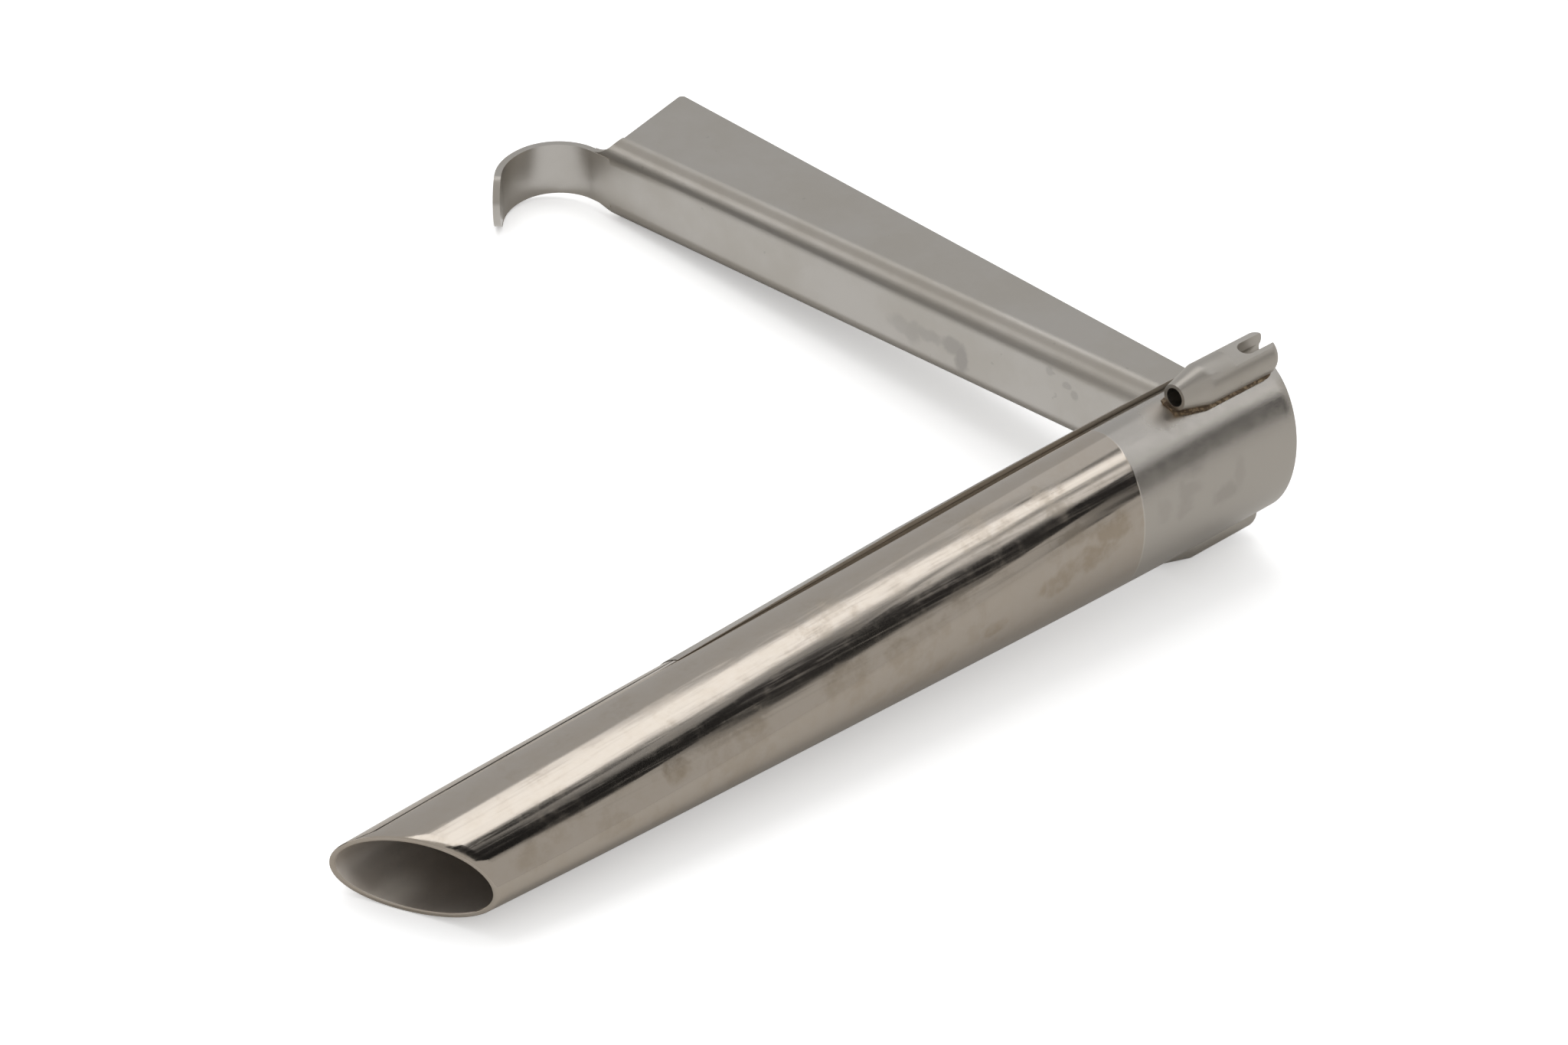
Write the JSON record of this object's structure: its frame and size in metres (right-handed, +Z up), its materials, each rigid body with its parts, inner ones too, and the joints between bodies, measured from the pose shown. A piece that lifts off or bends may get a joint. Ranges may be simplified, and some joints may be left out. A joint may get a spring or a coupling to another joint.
{
  "type": "operating laryngoscope",
  "caption": "Rigid steel tube with a bevelled tip, widening to an oval end with light carrier sleeves, and a folded side handle that ends in a finger hook.",
  "frame": {"origin": "on the table, under the middle of the part's box, as it lies on its side", "axes": "+X along the tube's run over the table, from the bevelled tip to the wide end; +Y towards the handle; +Z up from the table"},
  "size_m": [0.1774, 0.151, 0.0394],
  "materials": {
    "polished_steel": "polished",
    "satin_steel": "satin",
    "braze": "satin"
  },
  "bodies": {
    "root": {"barrel": "polished_steel", "spine_plate": "satin_steel", "handle": "satin_steel", "handle_weld": "satin_steel", "light_sleeve_upper": "satin_steel", "light_sleeve_lower": "satin_steel", "braze_upper": "braze", "braze_lower": "braze"}
  },
  "joints": []
}
